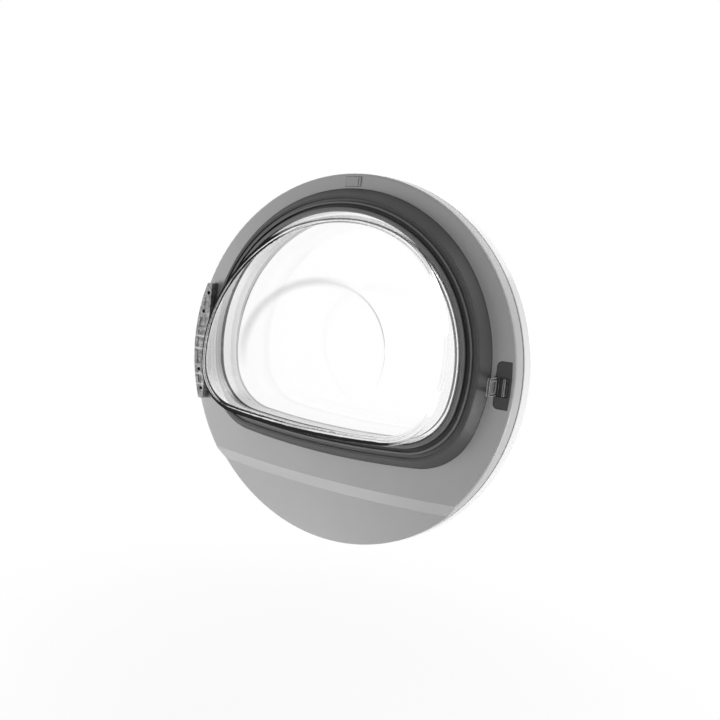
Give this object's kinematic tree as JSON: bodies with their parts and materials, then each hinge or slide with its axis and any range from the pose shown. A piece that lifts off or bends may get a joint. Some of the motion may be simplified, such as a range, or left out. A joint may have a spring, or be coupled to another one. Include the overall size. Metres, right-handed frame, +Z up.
{
  "type": "dryer door",
  "caption": "Round tumble dryer door with a D-shaped glass bowl in a ribbed seal, an outer ring with a round window, a side hinge and a fixed catch hook.",
  "frame": {"origin": "middle of the hinge leaf's mounting face, where it lies on the cabinet", "axes": "+Z up along the hinge axis, +X from the hinge to the catch, +Y out of the cabinet towards the user"},
  "size_m": [0.4813, 0.1182, 0.4814],
  "materials": {
    "grey_plastic": "satin moulded grey plastic",
    "dark_plastic": "satin dark grey plastic",
    "rubber": "dusty black rubber with dark grooves",
    "cushion_silicone": "pale silicone",
    "glass": "clear pressed glass",
    "window_glass": "clear flat glass",
    "collar_plastic": "smooth white plastic",
    "inner_plastic": "plain white plastic",
    "white_plastic": "glossy white plastic",
    "hook_plastic": "dark acetal plastic with paler edges",
    "clip_plastic": "satin grey plastic",
    "screw_steel": "zinc plated steel",
    "plate_steel": "zinc plated steel sheet",
    "hinge_metal": "die-cast zinc alloy, as cast",
    "leaf_metal": "die-cast zinc alloy, as cast",
    "pin_steel": "ground steel",
    "bush_plastic": "acetal bearing plastic"
  },
  "bodies": {
    "hinge": {"hinge_leaf": "leaf_metal", "hinge_pin": "pin_steel", "pin_clips": "pin_steel", "upper_washer": "bush_plastic", "lower_washer": "bush_plastic"},
    "door": {"inner_frame": "grey_plastic", "seal_carrier": "dark_plastic", "bowl_seal": "rubber", "glass_bowl": "glass", "glass_collar": "collar_plastic", "flange_cushion": "cushion_silicone", "bowl_clamp": "inner_plastic", "clamp_screws": "screw_steel", "outer_ring": "white_plastic", "grip_cup": "dark_plastic", "window_gasket": "rubber", "front_window": "window_glass", "window_retainer": "inner_plastic", "retainer_screws": "screw_steel", "latch_plate": "dark_plastic", "latch_hook": "hook_plastic", "latch_backing": "plate_steel", "latch_screws": "screw_steel", "top_clip": "clip_plastic", "hinge_bracket": "hinge_metal", "upper_bush": "bush_plastic", "lower_bush": "bush_plastic", "barrel_upper_bush": "bush_plastic", "barrel_lower_bush": "bush_plastic", "upper_backing": "plate_steel", "lower_backing": "plate_steel", "bracket_screws": "screw_steel"}
  },
  "joints": [
    {"name": "door_swing", "type": "hinge", "parent": "hinge", "child": "door", "pos_m": [-0.00825, 0.026, 0], "axis": [0, 0, 1], "range_deg": [0, 105]}
  ]
}
